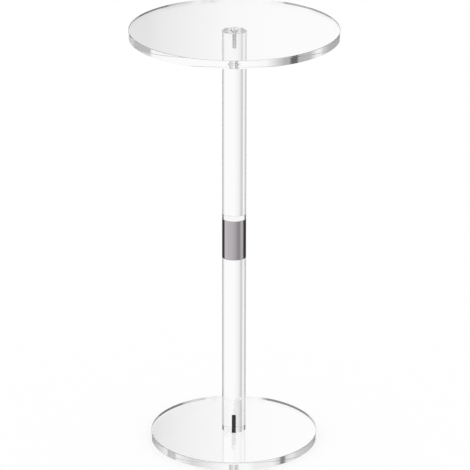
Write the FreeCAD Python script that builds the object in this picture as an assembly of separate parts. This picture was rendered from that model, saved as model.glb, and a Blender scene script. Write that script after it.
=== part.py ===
import FreeCAD, Part
import math
import os

# A clear acrylic drink table: disc top, solid rod column in two halves, disc base.
# Lengths are millimetres and angles degrees. Z is up and the origin is the middle of the base's underside.

# Overall height and the two discs
TABLE_HEIGHT = 630.0
TOP_DIAMETER = 300.0
TOP_THICKNESS = 12.0
BASE_DIAMETER = 244.0
BASE_THICKNESS = 12.0
DISC_EDGE_CHAMFER = 0.5

# The column's rods
ROD_DIAMETER = 35.0
ROD_EDGE_CHAMFER = 0.4

# The collar, flush with the rods, and the plugs on the rods' flat ends that fill it
COLLAR_LENGTH = 60.0
COLLAR_WALL = 3.0
COLLAR_EDGE_CHAMFER = 0.5
UPPER_PLUG_CLEARANCE = 0.08
LOWER_PLUG_BOND = 0.05
PLUG_TIP_GAP = 1.0
PLUG_EDGE_CHAMFER = 0.4

# The stud that draws the two plugs together inside the collar, and how far its ends stay from the rods
STUD_DIAMETER = 10.0
STUD_END_COVER = 10.0
STUD_END_CHAMFER = 1.0
STUD_SOCKET_FLATS = 5.0
STUD_SOCKET_DEPTH = 6.0
STUD_HOLE_RUNOUT = 3.0
DRILL_POINT_ANGLE = 118.0

# The flanged insert sunk flush into each disc's inner face, and the skin of acrylic left under its outer face
INSERT_DIAMETER = 9.0
INSERT_FLANGE_DIAMETER = 12.0
INSERT_FLANGE_THICKNESS = 1.5
INSERT_EDGE_CHAMFER = 0.3
DISC_SKIN = 1.8

# The headless set screw that joins each insert to its rod
SCREW_DIAMETER = 4.0
SCREW_LENGTH = 30.0
SCREW_ROD_DEPTH = 24.0
SCREW_END_CHAMFER = 0.5
SCREW_SOCKET_FLATS = 2.0
SCREW_SOCKET_DEPTH = 2.5

# Fits: radial clearances, and the room past an insert's foot and a screw's tip
INSERT_CLEARANCE = 0.05
INSERT_FLOOR_GAP = 0.2
THREAD_CLEARANCE = 0.05
SCREW_HOLE_RUNOUT = 0.5

# Places that follow from those sizes
COLUMN_FOOT = BASE_THICKNESS
COLUMN_HEAD = TABLE_HEIGHT - TOP_THICKNESS
COLUMN_MIDDLE = (COLUMN_FOOT + COLUMN_HEAD) / 2
ROD_RADIUS = ROD_DIAMETER / 2
ROD_LENGTH = (COLUMN_HEAD - COLUMN_FOOT - COLLAR_LENGTH) / 2
PLUG_LENGTH = (COLLAR_LENGTH - PLUG_TIP_GAP) / 2
COLLAR_BORE_RADIUS = ROD_RADIUS - COLLAR_WALL
INSERT_RADIUS = INSERT_DIAMETER / 2
INSERT_FLANGE_RADIUS = INSERT_FLANGE_DIAMETER / 2
SCREW_RADIUS = SCREW_DIAMETER / 2
SCREW_HOLE_RADIUS = SCREW_RADIUS + THREAD_CLEARANCE
STUD_RADIUS = STUD_DIAMETER / 2
STUD_LENGTH = COLLAR_LENGTH - 2 * STUD_END_COVER

ORIGIN = FreeCAD.Vector(0, 0, 0)
ACROSS = FreeCAD.Vector(1, 0, 0)
UP = FreeCAD.Vector(0, 0, 1)
HALF_TURN = 180
FULL_TURN = 360
HEX_SIDES = 6


def turned(outline):
    """Solid turned about Z from a closed outline of (radius, height) corners."""
    corners = [FreeCAD.Vector(radius, 0, height) for radius, height in outline]
    face = Part.Face(Part.makePolygon(corners + corners[:1]))
    return face.revolve(ORIGIN, UP, FULL_TURN)


def raised(shape, height):
    """The shape moved up by a height."""
    return shape.translated(UP * height)


def upended(shape):
    """The shape turned end over end about the origin."""
    return shape.rotated(ORIGIN, ACROSS, HALF_TURN)


def cone_height(radius, full_angle):
    """Height over which a cone of this full angle closes from a radius to its axis."""
    return radius / math.tan(math.radians(full_angle / 2))


def hex_socket(flats, depth):
    """Six-sided prism for a key, from z = -depth up to z = 0."""
    corner_radius = flats / math.sqrt(3)
    step = 2 * math.pi / HEX_SIDES
    corners = [
        FreeCAD.Vector(corner_radius * math.cos(step * i), corner_radius * math.sin(step * i), -depth)
        for i in range(HEX_SIDES)
    ]
    face = Part.Face(Part.makePolygon(corners + corners[:1]))
    return face.extrude(UP * depth)


def disc(diameter, thickness):
    """Round plate on z = 0 with polished chamfers, bored from its upper face for an insert and its flange."""
    rim = diameter / 2
    bore = INSERT_RADIUS + INSERT_CLEARANCE
    flange_bore = INSERT_FLANGE_RADIUS + INSERT_CLEARANCE
    ledge = thickness - INSERT_FLANGE_THICKNESS
    return turned([
        (0, 0),
        (rim - DISC_EDGE_CHAMFER, 0),
        (rim, DISC_EDGE_CHAMFER),
        (rim, thickness - DISC_EDGE_CHAMFER),
        (rim - DISC_EDGE_CHAMFER, thickness),
        (flange_bore, thickness),
        (flange_bore, ledge),
        (bore, ledge),
        (bore, DISC_SKIN),
        (0, DISC_SKIN),
    ])


def threaded_insert(thickness):
    """Insert where it lies in its disc, flange flush with the upper face; thread at full diameter."""
    foot = DISC_SKIN + INSERT_FLOOR_GAP
    ledge = thickness - INSERT_FLANGE_THICKNESS
    return turned([
        (SCREW_HOLE_RADIUS, foot),
        (INSERT_RADIUS - INSERT_EDGE_CHAMFER, foot),
        (INSERT_RADIUS, foot + INSERT_EDGE_CHAMFER),
        (INSERT_RADIUS, ledge),
        (INSERT_FLANGE_RADIUS, ledge),
        (INSERT_FLANGE_RADIUS, thickness - INSERT_EDGE_CHAMFER),
        (INSERT_FLANGE_RADIUS - INSERT_EDGE_CHAMFER, thickness),
        (SCREW_HOLE_RADIUS, thickness),
    ])


def set_screw():
    """Headless screw through a rod's end at z = 0: its key socket stands proud below, its tip is in the rod."""
    foot = SCREW_ROD_DEPTH - SCREW_LENGTH
    body = turned([
        (0, foot),
        (SCREW_RADIUS - SCREW_END_CHAMFER, foot),
        (SCREW_RADIUS, foot + SCREW_END_CHAMFER),
        (SCREW_RADIUS, SCREW_ROD_DEPTH - SCREW_END_CHAMFER),
        (SCREW_RADIUS - SCREW_END_CHAMFER, SCREW_ROD_DEPTH),
        (0, SCREW_ROD_DEPTH),
    ])
    return body.cut(raised(hex_socket(SCREW_SOCKET_FLATS, SCREW_SOCKET_DEPTH), foot + SCREW_SOCKET_DEPTH))


def rod_half():
    """Half of the column, from its disc at z = 0 up to its flat end, with a flat-bottomed hole for the screw."""
    depth = SCREW_ROD_DEPTH + SCREW_HOLE_RUNOUT
    return turned([
        (0, depth),
        (SCREW_HOLE_RADIUS, depth),
        (SCREW_HOLE_RADIUS, 0),
        (ROD_RADIUS - ROD_EDGE_CHAMFER, 0),
        (ROD_RADIUS, ROD_EDGE_CHAMFER),
        (ROD_RADIUS, ROD_LENGTH - ROD_EDGE_CHAMFER),
        (ROD_RADIUS - ROD_EDGE_CHAMFER, ROD_LENGTH),
        (0, ROD_LENGTH),
    ])


def coupling_plug(radius):
    """Metal plug from its rod's end at z = 0 up to its tip, drilled and tapped from the tip for the stud."""
    hole = STUD_RADIUS + THREAD_CLEARANCE
    floor = STUD_END_COVER - STUD_HOLE_RUNOUT
    point = floor - cone_height(hole, DRILL_POINT_ANGLE)
    return turned([
        (0, 0),
        (radius - PLUG_EDGE_CHAMFER, 0),
        (radius, PLUG_EDGE_CHAMFER),
        (radius, PLUG_LENGTH - PLUG_EDGE_CHAMFER),
        (radius - PLUG_EDGE_CHAMFER, PLUG_LENGTH),
        (hole, PLUG_LENGTH),
        (hole, floor),
        (0, point),
    ])


def collar_sleeve():
    """Metal sleeve about the column's middle, chamfered inside and out at both ends."""
    end = COLLAR_LENGTH / 2
    return turned([
        (COLLAR_BORE_RADIUS + COLLAR_EDGE_CHAMFER, -end),
        (ROD_RADIUS - COLLAR_EDGE_CHAMFER, -end),
        (ROD_RADIUS, COLLAR_EDGE_CHAMFER - end),
        (ROD_RADIUS, end - COLLAR_EDGE_CHAMFER),
        (ROD_RADIUS - COLLAR_EDGE_CHAMFER, end),
        (COLLAR_BORE_RADIUS + COLLAR_EDGE_CHAMFER, end),
        (COLLAR_BORE_RADIUS, end - COLLAR_EDGE_CHAMFER),
        (COLLAR_BORE_RADIUS, COLLAR_EDGE_CHAMFER - end),
    ])


def threaded_stud():
    """Stud about the column's middle with a key socket in its upper end; threads at full diameter."""
    end = STUD_LENGTH / 2
    body = turned([
        (0, -end),
        (STUD_RADIUS - STUD_END_CHAMFER, -end),
        (STUD_RADIUS, STUD_END_CHAMFER - end),
        (STUD_RADIUS, end - STUD_END_CHAMFER),
        (STUD_RADIUS - STUD_END_CHAMFER, end),
        (0, end),
    ])
    return body.cut(raised(hex_socket(STUD_SOCKET_FLATS, STUD_SOCKET_DEPTH), end))


lower_plug = coupling_plug(COLLAR_BORE_RADIUS - LOWER_PLUG_BOND)
upper_plug = coupling_plug(COLLAR_BORE_RADIUS - UPPER_PLUG_CLEARANCE)

pieces = {
    "base_plate": disc(BASE_DIAMETER, BASE_THICKNESS),
    "base_insert": threaded_insert(BASE_THICKNESS),
    "base_screw": raised(set_screw(), COLUMN_FOOT),
    "lower_rod": raised(rod_half(), COLUMN_FOOT),
    "lower_plug": raised(lower_plug, COLUMN_FOOT + ROD_LENGTH),
    "collar": raised(collar_sleeve(), COLUMN_MIDDLE),
    "coupling_stud": raised(threaded_stud(), COLUMN_MIDDLE),
    "upper_plug": raised(upended(upper_plug), COLUMN_HEAD - ROD_LENGTH),
    "upper_rod": raised(upended(rod_half()), COLUMN_HEAD),
    "top_screw": raised(upended(set_screw()), COLUMN_HEAD),
    "top_insert": raised(upended(threaded_insert(TOP_THICKNESS)), TABLE_HEIGHT),
    "table_top": raised(upended(disc(TOP_DIAMETER, TOP_THICKNESS)), TABLE_HEIGHT),
}

os.makedirs("parts", exist_ok=True)
for node, shape in pieces.items():
    shape.exportStep(f"parts/{node}.step")
    box = shape.BoundBox
    print(f"{node}: valid {shape.isValid()}, volume {shape.Volume:.1f}, z {box.ZMin:.2f} to {box.ZMax:.2f}")
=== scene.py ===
import math

import bpy
import numpy as np
from mathutils import Matrix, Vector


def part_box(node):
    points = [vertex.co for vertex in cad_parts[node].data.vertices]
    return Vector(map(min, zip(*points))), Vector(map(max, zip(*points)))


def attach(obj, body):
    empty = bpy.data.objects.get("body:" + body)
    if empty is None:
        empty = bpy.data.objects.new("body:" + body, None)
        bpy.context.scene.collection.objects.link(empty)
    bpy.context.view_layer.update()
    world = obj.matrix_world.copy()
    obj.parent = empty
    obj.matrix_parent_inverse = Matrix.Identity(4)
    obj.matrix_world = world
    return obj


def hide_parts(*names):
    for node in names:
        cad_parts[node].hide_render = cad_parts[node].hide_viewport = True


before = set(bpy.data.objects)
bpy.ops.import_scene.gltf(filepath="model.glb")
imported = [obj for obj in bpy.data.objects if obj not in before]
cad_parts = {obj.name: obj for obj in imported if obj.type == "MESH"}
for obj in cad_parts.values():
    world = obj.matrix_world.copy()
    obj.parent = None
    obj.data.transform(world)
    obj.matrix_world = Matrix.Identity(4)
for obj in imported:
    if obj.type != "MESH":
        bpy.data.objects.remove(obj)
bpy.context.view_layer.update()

# A clear acrylic drink table. Lengths are metres, and Z is up from the base's underside.
MM = 0.001

# Fits and edges of the turned pieces
DISC_ARRIS = 0.5 * MM
ROD_ARRIS = 0.4 * MM
COLLAR_ARRIS = 0.5 * MM
PLUG_ARRIS = 0.4 * MM
COLLAR_WALL = 3.0 * MM
SEAT_FILM = 0.03 * MM
THREAD_CLEARANCE = 0.05 * MM

# The set screws, and the flanged inserts that they hold in the discs
SCREW_PITCH = 0.7 * MM
SCREW_THREAD_DEPTH = 0.25 * MM
SCREW_END = 0.5 * MM
SCREW_SOCKET_FLATS = 2.0 * MM
SCREW_SOCKET_DEPTH = 2.5 * MM
INSERT_RADIUS = 4.5 * MM
INSERT_FLANGE_THICKNESS = 1.5 * MM
INSERT_FLOOR_GAP = 0.2 * MM
INSERT_CLEARANCE = 0.05 * MM
INSERT_EDGE = 0.3 * MM

# The stud inside the collar, and the slope of the 118 degree drill point that ends its holes
STUD_PITCH = 1.5 * MM
STUD_THREAD_DEPTH = 0.8 * MM
STUD_END = 1.0 * MM
STUD_SOCKET_FLATS = 5.0 * MM
STUD_SOCKET_DEPTH = 6.0 * MM
STUD_HOLE_RUNOUT = 3.0 * MM
DRILL_POINT_SLOPE = math.tan(math.radians(31))

# Clear acrylic: the swell of its buffed surface, its haze as roughness, and its depth
ACRYLIC_IOR = 1.49
SWELL_SCALE = 14.0
SWELL_DETAIL = 1.0
SWELL_STRENGTH = 0.02
SWELL_HEIGHT = 1.0 * MM
HAZE_SCALE = 90.0
HAZE_DETAIL = 3.0
HAZE_SPREAD = (0.35, 0.75)
ROD_HAZE = (0.006, 0.014)
ARRIS_HAZE = 0.012
DEPTH_COLOUR = (0.9, 0.91, 0.92, 1.0)
DEPTH_DENSITY = 0.5

# The collar's turned lines, the mottle in its gloss, and its colours
LINE_STRETCH = (6.0, 6.0, 5200.0)
LINE_SCALE = 1.0
LINE_DETAIL = 2.0
LINE_STRENGTH = 0.03
LINE_HEIGHT = 0.02 * MM
MOTTLE_SCALE = 60.0
MOTTLE_DETAIL = 2.0
COLLAR_ROUGHNESS = (0.06, 0.1)
COLLAR_DARK = (0.61, 0.575, 0.605, 1.0)
COLLAR_LIGHT = (0.65, 0.615, 0.645, 1.0)

# The usual spread of noise
NOISE_SPREAD = (0.3, 0.7)

# The other metals' grain, then each one's darker and lighter colour and its least and most roughness
GRAIN_SCALE = 700.0
GRAIN_DETAIL = 3.0
GRAIN_STRENGTH = 0.1
GRAIN_HEIGHT = 0.03 * MM
STUD_STEEL = ((0.7, 0.69, 0.67, 1.0), (0.76, 0.75, 0.73, 1.0), (0.12, 0.22))
PLUG_METAL = ((0.94, 0.945, 0.95, 1.0), (0.96, 0.965, 0.97, 1.0), (0.0, 0.02))
SCREW_STEEL = ((0.67, 0.65, 0.67, 1.0), (0.75, 0.73, 0.75, 1.0), (0.12, 0.2))

# The base's screw, coloured near black
BLACK_DARK = (0.006, 0.006, 0.007, 1.0)
BLACK_LIGHT = (0.012, 0.012, 0.013, 1.0)
BLACK_ROUGHNESS = 0.6
BLACK_GLOSS = 0.03

# The bright plating of the inserts, and the painted shade on their flanges' ledges: a near-black, dull
# band
PLATING_DARK = (0.95, 0.947, 0.943, 1.0)
PLATING_LIGHT = (0.98, 0.977, 0.973, 1.0)
PLATING_ROUGHNESS = 0.03
LEDGE_SHADE_DARK = (0.02, 0.02, 0.021, 1.0)
LEDGE_SHADE_LIGHT = (0.035, 0.035, 0.036, 1.0)
LEDGE_SHADE_ROUGHNESS = 0.5
LEDGE_SHADE_REACH = 0.1 * MM

# A thread's flank: how far its triangle wave is stretched before its crest and root are clipped flat
THREAD_STRETCH = 1.3
THREAD_CREST = 0.15

# A key socket's chamfered mouth and drilled floor, as shares of its flats
SOCKET_MOUTH = 0.08
SOCKET_FLOOR = 0.25

# Socket numbers of a colour mix
MIX_FACTOR = 0
MIX_FIRST = 6
MIX_SECOND = 7
MIX_COLOUR = 2

# How finely the surfaces are divided, where a flat starts past its arris, and the angle from which an edge
# is sharp
DISC_SEGMENTS = 720
ROD_SEGMENTS = 480
SCREW_SEGMENTS = 72
INSERT_SEGMENTS = 144
ARRIS_STEPS = 8
FLAT_START = 1.04
ROWS_PER_PITCH = 12
SHARP_ANGLE = math.radians(32)

# The camera of the photograph, fitted to the rims of both discs
CAMERA_PLACE = (0.0, -4.4201, 1.9968)
CAMERA_TILT = math.radians(20.799)
CAMERA_PAN = math.radians(0.0172)
CAMERA_ROLL = math.radians(0.0937)
CAMERA_LENS = 250.31
CAMERA_SENSOR = 36.0
CAMERA_REACH = 200.0

# The floor's reach, its drop below the base, its paint and its glow, and how often light may bounce
FLOOR_REACH = 40.0
FLOOR_DROP = 0.2 * MM
FLOOR_PAINT = 0.25
FLOOR_GLOW = 0.75
BOUNCES = 64


def node_span(node):
    """Outer radius, foot height and head height of a turned CAD node, from its box."""
    low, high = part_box(node)
    return high.x, low.z, high.z


def softened(corners):
    """Outline through (radius, height, arris) corners.

    A corner with an arris d becomes the quadratic curve from d before the corner to d after it, with the
    corner as its control point, and a point just outside each end that keeps the flats' shading flat.
    A corner with none stays one point."""
    place = np.array([corner[:2] for corner in corners])
    arris = np.array([corner[2] for corner in corners])
    before = np.roll(place, 1, axis=0) - place
    after = np.roll(place, -1, axis=0) - place
    before /= np.linalg.norm(before, axis=1, keepdims=True)
    after /= np.linalg.norm(after, axis=1, keepdims=True)
    t = np.linspace(0, 1, ARRIS_STEPS + 1)[:, None]
    outline = []
    for i in range(len(place)):
        if arris[i] > 0:
            outline.append(place[i:i + 1] + FLAT_START * arris[i] * before[i])
            outline.append(place[i] + arris[i] * ((1 - t) ** 2 * before[i] + t ** 2 * after[i]))
            outline.append(place[i:i + 1] + FLAT_START * arris[i] * after[i])
        else:
            outline.append(place[i:i + 1])
    return np.concatenate(outline)


def revolved(radius, height, segments):
    """Points (r cos a, r sin a, z): rows follow the profile, columns the angle a round the axis."""
    angle = np.arange(segments) * (2 * math.pi / segments)
    shape = (len(radius), segments)
    r = np.broadcast_to(radius, shape)
    z = np.broadcast_to(height, shape)
    return np.stack([r * np.cos(angle), r * np.sin(angle), z], axis=-1)


def turned(outline, segments):
    """Surface of revolution of one outline of (radius, height) points."""
    return revolved(outline[:, :1], outline[:, 1:], segments)


def upended(points):
    """The surface turned half a turn about X."""
    return points * np.array([1, -1, -1])


def raised(points, height):
    """The surface moved up by a height."""
    return points + np.array([0, 0, height])


def disc_surface(rim, thickness, insert_foot, flange):
    """Sheet disc on z = 0: softened rim, and a stepped blind hole for its insert from above, revolved."""
    bore = INSERT_RADIUS + INSERT_CLEARANCE
    flange_bore = flange + INSERT_CLEARANCE
    ledge = thickness - INSERT_FLANGE_THICKNESS - SEAT_FILM
    floor = insert_foot - INSERT_FLOOR_GAP
    outline = softened([
        (0, 0, 0),
        (rim, 0, DISC_ARRIS),
        (rim, thickness, DISC_ARRIS),
        (flange_bore, thickness, 0),
        (flange_bore, ledge, 0),
        (bore, ledge, 0),
        (bore, floor, 0),
        (0, floor, 0),
    ])
    return turned(outline, DISC_SEGMENTS)


def insert_surface(flange, bore, foot, head):
    """Insert, flange up: bore, body and flange with softened edges, revolved."""
    ledge = head - INSERT_FLANGE_THICKNESS
    outline = softened([
        (bore, foot, 0),
        (INSERT_RADIUS, foot, INSERT_EDGE),
        (INSERT_RADIUS, ledge, 0),
        (flange, ledge, INSERT_EDGE),
        (flange, head, INSERT_EDGE),
        (bore, head, 0),
    ])
    return turned(outline, INSERT_SEGMENTS)


def rod_surface(radius, length, screw_radius, screw_depth):
    """Half of the column from its disc up: screw hole, softened body and flat end, revolved.

    The screw's thread is bedded in the acrylic, so the hole's wall and floor lie inside the screw."""
    bore = screw_radius - SCREW_THREAD_DEPTH - THREAD_CLEARANCE
    floor = screw_depth - SCREW_END
    outline = softened([
        (0, floor, 0),
        (bore, floor, 0),
        (bore, SEAT_FILM, 0),
        (radius, SEAT_FILM, ROD_ARRIS),
        (radius, length - SEAT_FILM, ROD_ARRIS),
        (0, length - SEAT_FILM, 0),
    ])
    return turned(outline, ROD_SEGMENTS)


def plug_surface(radius, length, stud_depth):
    """Plug from its rod's end up: softened body and the drilled stud hole in its tip, revolved."""
    bore = stud_radius + THREAD_CLEARANCE
    outline = softened([
        (0, 0, 0),
        (radius, 0, PLUG_ARRIS),
        (radius, length, PLUG_ARRIS),
        (bore, length, 0),
        (bore, length - stud_depth, 0),
        (0, length - stud_depth - bore * DRILL_POINT_SLOPE, 0),
    ])
    return turned(outline, ROD_SEGMENTS)


def collar_surface(radius, foot, head):
    """Sleeve: four softened corners of its wall's section, revolved."""
    bore = radius - COLLAR_WALL
    outline = softened([
        (bore, foot, COLLAR_ARRIS),
        (radius, foot, COLLAR_ARRIS),
        (radius, head, COLLAR_ARRIS),
        (bore, head, COLLAR_ARRIS),
    ])
    return turned(outline, ROD_SEGMENTS)


def hexagon(flats, segments):
    """Radius of a hexagon at each angle: half its flats over the cosine of the angle from a flat."""
    angle = np.arange(segments) * (2 * math.pi / segments)
    sector = math.pi / 3
    return flats / 2 / np.cos(np.mod(angle, sector) - sector / 2)


def thread_radius(height, foot, head, radius, pitch, depth, segments):
    """Radius of a right-hand thread at each (height, angle).

    The crest follows height / pitch - angle / turn; the flank is a triangle wave with its crest and root
    clipped flat, and the groove runs out over one pitch at both ends."""
    turn = np.arange(segments) / segments
    phase = np.mod(height / pitch - turn, 1)
    wave = np.abs(2 * phase - 1)
    groove = np.clip((1 - wave) * THREAD_STRETCH - THREAD_CREST, 0, 1)
    fade = np.clip((height - foot) / pitch, 0, 1) * np.clip((head - height) / pitch, 0, 1)
    return radius - depth * groove * fade


def key_socket_rows(flats, depth, face, segments):
    """Rows of a hexagon socket in a face, from its chamfered mouth to the middle of its drilled floor."""
    corner = hexagon(flats, segments)
    mouth = SOCKET_MOUTH * flats
    radius = np.stack([corner + mouth, corner, corner, corner * 0])
    height = np.array([face, face - mouth, face - depth, face - depth - SOCKET_FLOOR * flats])[:, None]
    return radius, np.broadcast_to(height, radius.shape)


def threaded_bar(radius, length, end, pitch, depth, socket_flats, socket_depth):
    """Bar hanging from z = 0: coned ends, a thread all along, and a key socket in its upper end.

    Plain rows of the coned ends, the thread's rows and the socket's rows are stacked into one grid of
    radii and heights, and the grid is revolved."""
    full = np.ones((1, SCREW_SEGMENTS))
    rows = int(round((length - 2 * end) / pitch * ROWS_PER_PITCH))
    height = np.linspace(end - length, -end, rows)[:, None]
    thread = thread_radius(height, end - length, -end, radius, pitch, depth, SCREW_SEGMENTS)
    socket_radius, socket_height = key_socket_rows(socket_flats, socket_depth, 0, SCREW_SEGMENTS)
    tip = (radius - end) * full
    return revolved(
        np.concatenate([0 * full, tip, thread, tip, socket_radius]),
        np.concatenate([-length * full, -length * full, height * full, 0 * full, socket_height]),
        SCREW_SEGMENTS,
    )


def grid_mesh(name, points, ring):
    """Closed mesh over a grid of points whose columns go round the axis.

    Quads join each row to the next. A ring piece joins its last row to its first; the others close at a
    pole, where the first and last rows shrink to one point each."""
    rows, columns = points.shape[:2]
    column = np.arange(columns)
    beside = np.roll(column, -1)
    fans = []
    rings = rows if ring else rows - 2
    if ring:
        verts = points.reshape(-1, 3)
        row = np.arange(rings)[:, None] * columns
        above = np.roll(row, -1, axis=0)
    else:
        verts = np.concatenate([points[0, :1], points[1:-1].reshape(-1, 3), points[-1, :1]])
        row = 1 + np.arange(rings - 1)[:, None] * columns
        above = row + columns
        last_row = 1 + (rings - 1) * columns
        pole = len(verts) - 1
        foot_fan = np.stack([np.zeros_like(column), 1 + beside, 1 + column], -1)
        head_fan = np.stack([last_row + column, last_row + beside, np.full_like(column, pole)], -1)
        fans = foot_fan.tolist() + head_fan.tolist()
    corners = np.broadcast_arrays(row + column, row + beside, above + beside, above + column)
    faces = np.stack(corners, -1).reshape(-1, 4).tolist() + fans
    mesh = bpy.data.meshes.new(name)
    mesh.from_pydata(verts, [], faces)
    mesh.shade_smooth()
    mesh.set_sharp_from_angle(angle=SHARP_ANGLE)
    mesh.update()
    return mesh


def add_piece(name, points, ring, material, body, node):
    """Puts a finished surface into the scene in place of its CAD node, riding on its body."""
    piece = bpy.data.objects.new(name, grid_mesh(name, points, ring))
    bpy.context.scene.collection.objects.link(piece)
    piece.data.materials.append(material)
    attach(piece, body)
    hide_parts(node)


class Shader:
    """A material's or the world's node tree with short ways to add and join its nodes."""

    def __init__(self, tree):
        self.tree = tree
        tree.nodes.clear()

    def add(self, kind, inputs=None, **settings):
        """A new node with its settings, and its inputs joined to sockets or set to values."""
        node = self.tree.nodes.new("ShaderNode" + kind)
        for key, value in settings.items():
            setattr(node, key, value)
        for socket, value in (inputs or {}).items():
            if isinstance(value, bpy.types.NodeSocket):
                self.tree.links.new(value, node.inputs[socket])
            else:
                node.inputs[socket].default_value = value
        return node

    def ramp(self, factor, stops):
        """Colour ramp through (position, colour) stops."""
        node = self.add("ValToRGB", {"Fac": factor})
        elements = node.color_ramp.elements
        while len(elements) > 1:
            elements.remove(elements[-1])
        for i, (position, colour) in enumerate(stops):
            element = elements[0] if i == 0 else elements.new(position)
            element.position = position
            element.color = colour
        return node.outputs["Color"]

    def mix(self, factor, first, second, blend="MIX"):
        """The first colour at factor 0, blended with the second at factor 1."""
        inputs = {MIX_FACTOR: factor, MIX_FIRST: first, MIX_SECOND: second}
        return self.add("Mix", inputs, data_type="RGBA", blend_type=blend).outputs[MIX_COLOUR]

    def math(self, operation, first, second=0.0):
        """One step of arithmetic on two values."""
        return self.add("Math", {0: first, 1: second}, operation=operation).outputs[0]

    def place(self):
        """Where a point lies on the piece."""
        return self.add("TexCoord").outputs["Object"]

    def noise(self, place, scale, detail):
        """Soft noise of a scale over a place."""
        return self.add("TexNoise", {"Vector": place, "Scale": scale, "Detail": detail}).outputs["Fac"]

    def bump(self, height, strength, distance):
        """Normal of a surface with a height on it."""
        inputs = {"Height": height, "Strength": strength, "Distance": distance}
        return self.add("Bump", inputs).outputs["Normal"]

    def spread(self, value, source, target=(0.0, 1.0)):
        """A value taken from one range to another, and kept within it."""
        inputs = {"Value": value}
        inputs["From Min"], inputs["From Max"] = source
        inputs["To Min"], inputs["To Max"] = target
        return self.add("MapRange", inputs).outputs["Result"]

    def two_tone(self, value, dark, light):
        """Colour between two tones over the usual spread of noise."""
        return self.ramp(value, list(zip(NOISE_SPREAD, (dark, light))))

    def finish(self, inputs):
        """The surface of an opaque piece, joined to the material's output."""
        surface = self.add("BsdfPrincipled", inputs)
        self.add("OutputMaterial", {"Surface": surface.outputs["BSDF"]})


def new_material(name):
    """An empty material and its node tree."""
    material = bpy.data.materials.new(name)
    material.use_nodes = True
    return material, Shader(material.node_tree)


def grey(level):
    """Grey of a level, as a colour."""
    return (level, level, level, 1.0)


def clear_acrylic(shader, place, roughness):
    """Polished acrylic: clear, hard gloss, with the faint swell of a buffed surface."""
    swell = shader.noise(place, SWELL_SCALE, SWELL_DETAIL)
    surface = shader.add("BsdfPrincipled", {
        "Base Color": grey(1.0),
        "Roughness": roughness,
        "IOR": ACRYLIC_IOR,
        "Transmission Weight": 1.0,
        "Normal": shader.bump(swell, SWELL_STRENGTH, SWELL_HEIGHT),
    })
    depth = shader.add("VolumeAbsorption", {"Color": DEPTH_COLOUR, "Density": DEPTH_DENSITY})
    shader.add("OutputMaterial", {
        "Surface": surface.outputs["BSDF"],
        "Volume": depth.outputs["Volume"],
    })


def rod_acrylic():
    """Acrylic rod with a faint haze that drifts between two levels of roughness."""
    material, shader = new_material("rod_acrylic")
    place = shader.place()
    haze = shader.noise(place, HAZE_SCALE, HAZE_DETAIL)
    clear_acrylic(shader, place, shader.spread(haze, HAZE_SPREAD, ROD_HAZE))
    return material


def sheet_acrylic(name, rim, foot, head):
    """Acrylic sheet with flawless faces and rim, and a trace of haze on the arrises between them."""
    material, shader = new_material(name)
    place = shader.place()
    part = shader.add("SeparateXYZ", {"Vector": place}).outputs
    across = shader.math("MULTIPLY", part["X"], part["X"])
    along = shader.math("MULTIPLY", part["Y"], part["Y"])
    radius = shader.math("SQRT", shader.math("ADD", across, along))
    from_middle = shader.math("ABSOLUTE", shader.math("SUBTRACT", part["Z"], (foot + head) / 2))
    near_rim = shader.math("GREATER_THAN", radius, rim - DISC_ARRIS)
    near_face = shader.math("GREATER_THAN", from_middle, (head - foot) / 2 - DISC_ARRIS)
    on_arris = shader.math("MULTIPLY", near_rim, near_face)
    clear_acrylic(shader, place, shader.math("MULTIPLY", on_arris, ARRIS_HAZE))
    return material


def polished_collar():
    """Polished metal sleeve with fine lines turned round it and a faint mottle in its gloss."""
    material, shader = new_material("polished_collar")
    place = shader.place()
    round_lines = shader.add("Mapping", {"Vector": place, "Scale": LINE_STRETCH}).outputs["Vector"]
    lines = shader.noise(round_lines, LINE_SCALE, LINE_DETAIL)
    mottle = shader.noise(place, MOTTLE_SCALE, MOTTLE_DETAIL)
    shader.finish({
        "Base Color": shader.two_tone(lines, COLLAR_DARK, COLLAR_LIGHT),
        "Metallic": 1.0,
        "Roughness": shader.spread(mottle, NOISE_SPREAD, COLLAR_ROUGHNESS),
        "Normal": shader.bump(lines, LINE_STRENGTH, LINE_HEIGHT),
    })
    return material


def metal_grain(shader, place):
    """Fine grain of a turned or plated metal, and the normal of the surface that has it."""
    grain = shader.noise(place, GRAIN_SCALE, GRAIN_DETAIL)
    return grain, shader.bump(grain, GRAIN_STRENGTH, GRAIN_HEIGHT)


def turned_metal(name, dark, light, roughness):
    """Turned metal: colour and gloss drift between two levels over a fine grain."""
    material, shader = new_material(name)
    grain, normal = metal_grain(shader, shader.place())
    shader.finish({
        "Base Color": shader.two_tone(grain, dark, light),
        "Metallic": 1.0,
        "Roughness": shader.spread(grain, NOISE_SPREAD, roughness),
        "Normal": normal,
    })
    return material


def black_screw_steel():
    """Near-black steel with little gloss, bedded in acrylic."""
    material, shader = new_material("black_steel")
    grain, normal = metal_grain(shader, shader.place())
    shader.finish({
        "Base Color": shader.two_tone(grain, BLACK_DARK, BLACK_LIGHT),
        "Roughness": BLACK_ROUGHNESS,
        "Specular IOR Level": BLACK_GLOSS,
        "Normal": normal,
    })
    return material


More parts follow.
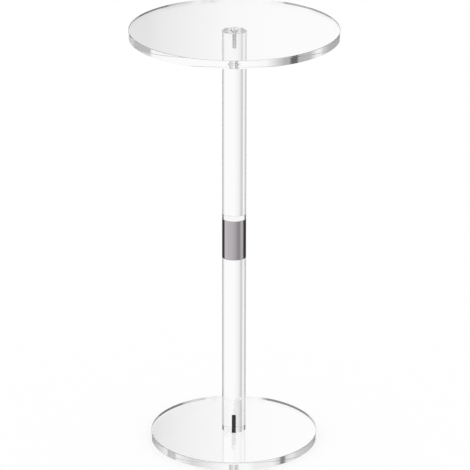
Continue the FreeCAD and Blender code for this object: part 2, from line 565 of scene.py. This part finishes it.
def plated_insert(name, ledge):
    """Bright plated metal, with painted shade: a near-black, dull band on its flange's ledge."""
    material, shader = new_material(name)
    place = shader.place()
    height = shader.add("SeparateXYZ", {"Vector": place}).outputs["Z"]
    from_ledge = shader.math("ABSOLUTE", shader.math("SUBTRACT", height, ledge))
    # Painted shade: near the flange's ledge the metal turns near black, dull and not metallic
    shaded_ledge = shader.math("LESS_THAN", from_ledge, LEDGE_SHADE_REACH)
    grain, normal = metal_grain(shader, place)
    bright = shader.two_tone(grain, PLATING_DARK, PLATING_LIGHT)
    painted_shade = shader.two_tone(grain, LEDGE_SHADE_DARK, LEDGE_SHADE_LIGHT)
    shader.finish({
        "Base Color": shader.mix(shaded_ledge, bright, painted_shade),
        "Metallic": shader.math("SUBTRACT", 1.0, shaded_ledge),
        "Roughness": shader.spread(shaded_ledge, (0.0, 1.0), (PLATING_ROUGHNESS, LEDGE_SHADE_ROUGHNESS)),
        "Normal": normal,
    })
    return material


# The pieces, each in place of its CAD node
top_rim, top_foot, top_head = node_span("table_top")
base_rim, base_foot, base_head = node_span("base_plate")
rod_radius, lower_foot, lower_head = node_span("lower_rod")
_, upper_foot, upper_head = node_span("upper_rod")
collar_radius, collar_foot, collar_head = node_span("collar")
lower_plug_radius, lower_plug_foot, lower_plug_head = node_span("lower_plug")
upper_plug_radius, _, upper_plug_head = node_span("upper_plug")
stud_radius, stud_foot, stud_head = node_span("coupling_stud")
screw_radius, top_screw_foot, top_screw_head = node_span("top_screw")
_, base_screw_foot, base_screw_head = node_span("base_screw")
flange_radius, base_insert_foot, base_insert_head = node_span("base_insert")
_, top_insert_foot, top_insert_head = node_span("top_insert")
screw_length = top_screw_head - top_screw_foot
screw_depth = base_screw_head - lower_foot
screw_bore = screw_radius + THREAD_CLEARANCE
stud_depth = lower_plug_head - stud_foot + STUD_HOLE_RUNOUT
plug_length = lower_plug_head - lower_plug_foot

top_sheet = sheet_acrylic("top_sheet", top_rim, top_foot, top_head)
base_sheet = sheet_acrylic("base_sheet", base_rim, base_foot, base_head)
clear_rod = rod_acrylic()
collar_metal = polished_collar()
stud_steel = turned_metal("stud_steel", *STUD_STEEL)
bright_plug = turned_metal("bright_plug", *PLUG_METAL)
bright_steel = turned_metal("bright_steel", *SCREW_STEEL)
black_steel = black_screw_steel()
top_plating = plated_insert("top_plating", top_insert_foot + INSERT_FLANGE_THICKNESS)
base_plating = plated_insert("base_plating", base_insert_head - INSERT_FLANGE_THICKNESS)

set_screw = threaded_bar(
    screw_radius, screw_length, SCREW_END, SCREW_PITCH, SCREW_THREAD_DEPTH,
    SCREW_SOCKET_FLATS, SCREW_SOCKET_DEPTH
)
stud = threaded_bar(
    stud_radius, stud_head - stud_foot, STUD_END, STUD_PITCH, STUD_THREAD_DEPTH,
    STUD_SOCKET_FLATS, STUD_SOCKET_DEPTH
)
insert = insert_surface(flange_radius, screw_bore, base_insert_foot, base_insert_head)
top_disc = disc_surface(top_rim, top_head - top_foot, top_head - top_insert_head, flange_radius)
base_disc = disc_surface(base_rim, base_head - base_foot, base_insert_foot - base_foot, flange_radius)
lower_rod = rod_surface(rod_radius, lower_head - lower_foot, screw_radius, screw_depth)
upper_rod = rod_surface(rod_radius, upper_head - upper_foot, screw_radius, screw_depth)
lower_plug = plug_surface(lower_plug_radius, plug_length, stud_depth)
upper_plug = plug_surface(upper_plug_radius, plug_length, stud_depth)

add_piece(
    "table_top_disc", raised(upended(top_disc), top_head), False, top_sheet,
    "upper_half", "table_top"
)
add_piece(
    "top_disc_insert", raised(upended(insert), top_foot + base_insert_head), True, top_plating,
    "upper_half", "top_insert"
)
add_piece(
    "base_disc", raised(base_disc, base_foot), False, base_sheet,
    "lower_half", "base_plate"
)
add_piece(
    "base_disc_insert", insert, True, base_plating,
    "lower_half", "base_insert"
)
add_piece(
    "lower_column", raised(lower_rod, lower_foot), False, clear_rod,
    "lower_half", "lower_rod"
)
add_piece(
    "upper_column", raised(upended(upper_rod), upper_head), False, clear_rod,
    "upper_half", "upper_rod"
)
add_piece(
    "column_collar", collar_surface(collar_radius, collar_foot, collar_head), True, collar_metal,
    "lower_half", "collar"
)
add_piece(
    "lower_coupling_plug", raised(lower_plug, lower_plug_foot), False, bright_plug,
    "lower_half", "lower_plug"
)
add_piece(
    "upper_coupling_plug", raised(upended(upper_plug), upper_plug_head), False, bright_plug,
    "upper_half", "upper_plug"
)
add_piece(
    "column_stud", raised(stud, stud_head), False, stud_steel,
    "stud", "coupling_stud"
)
add_piece(
    "top_disc_screw", raised(set_screw, top_screw_head), False, bright_steel,
    "upper_half", "top_screw"
)
add_piece(
    "base_disc_screw", raised(upended(set_screw), base_screw_foot), False, black_steel,
    "lower_half", "base_screw"
)


def by_bearing(levels, span):
    """Ramp stops over a span of bearings, with straight behind the table in the ramp's middle.

    A bearing is degrees from straight behind the table, left of it positive."""
    return [(0.5 - bearing / span, grey(level)) for bearing, level in reversed(levels)]


def opposite(levels):
    """The same levels on the other side of the table."""
    return [(-bearing, level) for bearing, level in reversed(levels)]


# Spans of the ramps in degrees: all round, half way round, and the card that the faces mirror
WHOLE_TURN = 360
HALF_TURN = 180
FACE_SPAN = 4

# Grey flags on the white ground round the table, as (bearing in degrees, level) from right to left.
# Straight through, the rods see two narrow flags out to each side and a soft one behind the table.
SIDE_FLAGS = [
    (49, 0.97), (53, 0.5), (56, 0.5), (58, 0.9), (62, 0.9), (64, 0.48), (76, 0.48), (80, 1.0), (90, 1.0)
]
SOFT_FLAG = [(0, 0.98), (8, 0.94), (16, 0.88), (22, 0.8), (24, 0.62), (35, 0.62), (36.5, 0.98)]
STRAIGHT_THROUGH = opposite(SIDE_FLAGS) + [(-12, 0.98)] + SOFT_FLAG + SIDE_FLAGS

# The front rims see wide grey flags on both sides with a dark bar in the left one.
TOP_RIM_LEFT = [
    (5, 1.0), (12, 0.97), (15.5, 0.75), (20, 0.43), (22, 0.43), (23, 0.08), (26, 0.08), (27, 0.43),
    (34, 0.46), (40, 0.95), (43, 0.95), (46, 0.67), (55, 0.43), (80, 0.38), (90, 0.8)
]
TOP_RIM_LOW = [(-90, 0.95), (-70, 0.85), (-63, 0.56), (-41, 0.54), (-40, 0.95)] + TOP_RIM_LEFT
TOP_RIM_HIGH = [(-90, 0.95), (-60, 0.75), (-41, 0.72), (-40, 0.97)] + TOP_RIM_LEFT
BASE_RIM = [
    (-90, 0.8), (-88, 0.62), (-68, 0.58), (-45, 0.9), (-44, 0.52), (-36, 0.52), (-35, 0.83), (-33, 0.87),
    (-22, 0.67), (-5, 0.95), (7, 0.97), (11, 0.86), (21, 0.9), (25.5, 0.58), (26.5, 0.18), (28.7, 0.18),
    (30, 0.55), (31, 0.72), (35.5, 0.79), (42, 0.63), (80, 0.53), (90, 0.8)
]

# The back rims see dark flags at the sides, and the rods' ends darker ones further round.
TOP_BACK_RIM = [
    (-180, 1.0), (-140, 1.0), (-125, 0.8), (-104, 0.5), (-100, 0.12), (-53, 0.12), (-43, 0.5), (-18, 0.5),
    (-10, 1.0), (10, 1.0), (18, 0.45), (42, 0.4), (52, 0.15), (122, 0.15), (126, 0.8), (134, 1.0),
    (180, 1.0)
]
BASE_BACK_RIM = [
    (-180, 1.0), (-141, 0.9), (-137, 0.62), (-120, 0.7), (-106, 0.5), (-100, 0.12), (-52, 0.12),
    (-44, 0.45), (-18, 0.5), (-10, 1.0), (10, 1.0), (18, 0.45), (44, 0.4), (54, 0.1), (131, 0.1),
    (137, 0.5), (142, 0.95), (180, 1.0)
]
END_FLAGS = [(46, 0.95), (52, 0.3), (60, 0.1), (90, 0.3), (180, 0.9)]
ROD_END = opposite(END_FLAGS) + END_FLAGS
FOOT_LEVEL = 0.9
FOOT_FLAG = [(bearing, FOOT_LEVEL * level) for bearing, level in SOFT_FLAG]
BASE_ROD_END = opposite(END_FLAGS) + FOOT_FLAG + END_FLAGS

# The discs' faces mirror a card behind and above the table that falls from white to black, right to left.
TOP_CARD = [
    (-2, 0.97), (-0.5, 0.88), (0, 0.83), (0.3, 0.72), (0.95, 0.43), (1.3, 0.26), (1.6, 0.0), (2, 0.0)
]
BASE_CARD = [
    (-2, 0.99), (-1, 0.97), (-0.5, 0.92), (0, 0.81), (0.7, 0.6), (1.1, 0.42), (1.4, 0.2), (1.5, 0.03)
]
BEYOND_CARD = [(-180, 0.9), (-2, 0.9), (2, 0.05), (20, 0.2), (40, 0.9), (180, 0.9)]

# The collar, the other metal and the rods' outer faces mirror this below the horizon.
MIRROR_LOW = [
    (-180, 0.66), (-151, 0.48), (-132, 0.36), (-118, 0.53), (-94, 0.76), (-81, 0.3), (-73, 0.06),
    (-20, 0.06), (-14, 0.9), (14, 0.9), (20, 0.06), (62, 0.06), (72, 0.1), (84, 0.86), (121, 0.76),
    (152, 0.735), (180, 0.66)
]

# Shade of rays that were trapped in a disc and leave by a flat, by the sine of their slope. It draws the
# arrises.
ARRIS_SHADE = [(0.0, 1.0), (0.46, 1.0), (0.52, 0.2), (0.9, 0.2), (0.97, 0.9)]

# Sines of slopes that part the base from the top, and half the width of that step
BASE_SINE = 0.34
BASE_ROD_SINE = 0.38
HORIZON_SINE = 0.02

# Sines between which a slope becomes steep, and the plain level that steep rays see
STEEP_SINES = (0.7, 0.9)
STEEP_LEVEL = 0.95

# What a disc's faces see straight through, and the most surfaces that a ray passes in one piece
FACE_LEVEL = 0.98
ONE_PIECE = 2.5

# How many mirrorings inside the acrylic set its back rims, its front rims and its long rods apart, and the
# shade that rays piped along a rod see between two counts
ONCE = 0.5
OFTEN = 1.5
ALONG_A_ROD = 10.5
PIPED_SHADE_START = 16.5
PIPED_SHADE_END = 26.5
PIPED_SHADE = 0.1


def studio_world():
    """White surround. The camera and soft light see plain white; clear and metal pieces also see flags.

    What a ray through clear acrylic sees depends on how often it was mirrored inside: never, on its way
    straight through; once, at a back rim or a rod's end; more often, in a front rim. Straight through and
    in the front rims the flags are the same in front of the table as behind it. A ray that leaves a hazy
    surface comes from a rod or an arris, so a disc's faces see no flags straight through, and the shade of
    the arrises is left out where a ray leaves by one."""
    world = bpy.data.worlds.new("white_studio")
    bpy.context.scene.world = world
    world.use_nodes = True
    shader = Shader(world.node_tree)
    direction = shader.add("TexCoord").outputs["Generated"]
    part = shader.add("SeparateXYZ", {"Vector": direction}).outputs
    turn = shader.math("ARCTAN2", part["X"], part["Y"])
    half_turn = shader.add("Math", {0: turn, 1: math.pi / 2, 2: -math.pi / 2}, operation="WRAP").outputs[0]
    steepness = shader.math("ABSOLUTE", part["Z"])
    path = shader.add("LightPath").outputs

    def across(angle, span):
        """Share of a span of degrees, about straight behind, that an angle has crossed."""
        reach = math.radians(span / 2)
        return shader.spread(angle, (-reach, reach))

    def past(sine, limit):
        """0 below a sine's limit and 1 above it, with a soft step between."""
        return shader.spread(sine, (limit - HORIZON_SINE, limit + HORIZON_SINE))

    whole_way = across(turn, WHOLE_TURN)
    half_way = across(half_turn, HALF_TURN)
    card_way = across(turn, FACE_SPAN)
    on_card = shader.math("LESS_THAN", shader.math("ABSOLUTE", turn), math.radians(FACE_SPAN / 2))

    def surround(levels):
        """Levels all round the table."""
        return shader.ramp(whole_way, by_bearing(levels, WHOLE_TURN))

    def both_ways(levels):
        """Levels of the half turn behind the table, repeated in front of it."""
        return shader.ramp(half_way, by_bearing(levels, HALF_TURN))

    def card(levels):
        """Levels of the card behind the table."""
        return shader.ramp(card_way, by_bearing(levels, FACE_SPAN))

    def mirrorings_over(count):
        """1 where a ray was mirrored more often than this."""
        return shader.math("GREATER_THAN", path["Glossy Depth"], count)

    above = past(part["Z"], 0)
    from_base = past(steepness, BASE_SINE)
    from_base_rod = past(steepness, BASE_ROD_SINE)
    steep = shader.spread(steepness, STEEP_SINES)

    rim_of_top = shader.mix(above, both_ways(TOP_RIM_LOW), both_ways(TOP_RIM_HIGH))
    rim = shader.mix(from_base, rim_of_top, both_ways(BASE_RIM))
    back_rim = shader.mix(from_base, surround(TOP_BACK_RIM), surround(BASE_BACK_RIM))
    base_card = card(BASE_CARD)
    face_card = shader.mix(from_base, card(TOP_CARD), base_card)
    base_end = shader.mix(on_card, surround(BASE_ROD_END), base_card)
    rod_end = shader.mix(from_base_rod, surround(ROD_END), base_end)
    mirror_high = shader.mix(on_card, surround(BEYOND_CARD), face_card)
    arris_shade = shader.ramp(steepness, [(sine, grey(level)) for sine, level in ARRIS_SHADE])

    from_haze = shader.math("SUBTRACT", 1.0, path["Is Singular Ray"])
    two_pieces = shader.math("GREATER_THAN", path["Transmission Depth"], ONE_PIECE)
    from_rod = shader.math("MAXIMUM", from_haze, two_pieces)
    straight = shader.mix(from_rod, grey(FACE_LEVEL), both_ways(STRAIGHT_THROUGH))
    straight = shader.mix(steep, straight, grey(STEEP_LEVEL))
    once = shader.mix(steep, shader.mix(above, back_rim, rod_end), grey(STEEP_LEVEL))
    often = shader.mix(1.0, rim, shader.mix(from_haze, arris_shade, grey(1.0)), blend="MULTIPLY")
    piped = shader.mix(mirrorings_over(PIPED_SHADE_START), grey(1.0), grey(PIPED_SHADE))
    piped = shader.mix(mirrorings_over(PIPED_SHADE_END), piped, grey(1.0))
    often = shader.mix(mirrorings_over(ALONG_A_ROD), often, piped)
    through = shader.mix(mirrorings_over(OFTEN), once, often)
    through = shader.mix(mirrorings_over(ONCE), straight, through)
    mirror = shader.mix(steep, shader.mix(above, surround(MIRROR_LOW), mirror_high), grey(STEEP_LEVEL))
    seen = shader.mix(path["Is Transmission Ray"], mirror, through)
    bent = shader.math("MAXIMUM", path["Is Transmission Ray"], path["Is Glossy Ray"])
    colour = shader.mix(bent, grey(1.0), seen)
    background = shader.add("Background", {"Color": colour, "Strength": 1.0})
    shader.add("OutputWorld", {"Surface": background.outputs["Background"]})


def pale_floor():
    """White floor that keeps a soft shadow. The clear and metal pieces see the surround in its place."""
    mesh = bpy.data.meshes.new("floor")
    corners = FLOOR_REACH * np.array([(-1, -1, 0), (1, -1, 0), (1, 1, 0), (-1, 1, 0)])
    mesh.from_pydata(corners - np.array([0, 0, FLOOR_DROP]), [], [(0, 1, 2, 3)])
    floor = bpy.data.objects.new("floor", mesh)
    bpy.context.scene.collection.objects.link(floor)
    material, shader = new_material("pale_floor")
    paint = shader.add("BsdfDiffuse", {"Color": grey(FLOOR_PAINT)})
    glow = shader.add("Emission", {"Color": grey(1.0), "Strength": FLOOR_GLOW})
    both = shader.add("AddShader", {0: paint.outputs[0], 1: glow.outputs[0]})
    shader.add("OutputMaterial", {"Surface": both.outputs[0]})
    mesh.materials.append(material)
    floor.visible_glossy = False
    floor.visible_transmission = False


def photo_camera():
    """Camera of the photograph: a long lens from in front, tilted down on the table."""
    lens = bpy.data.cameras.new("photo_camera")
    lens.lens = CAMERA_LENS
    lens.sensor_width = CAMERA_SENSOR
    lens.clip_end = CAMERA_REACH
    camera = bpy.data.objects.new("photo_camera", lens)
    bpy.context.scene.collection.objects.link(camera)
    turn = Matrix.Rotation(-CAMERA_PAN, 4, "Z")
    tilt = Matrix.Rotation(math.pi / 2 - CAMERA_TILT, 4, "X")
    roll = Matrix.Rotation(CAMERA_ROLL, 4, "Z")
    camera.matrix_world = Matrix.Translation(CAMERA_PLACE) @ turn @ tilt @ roll
    bpy.context.scene.camera = camera


studio_world()
pale_floor()
photo_camera()

scene = bpy.context.scene
scene.view_settings.view_transform = "Standard"
scene.cycles.max_bounces = BOUNCES
scene.cycles.glossy_bounces = BOUNCES
scene.cycles.transmission_bounces = BOUNCES
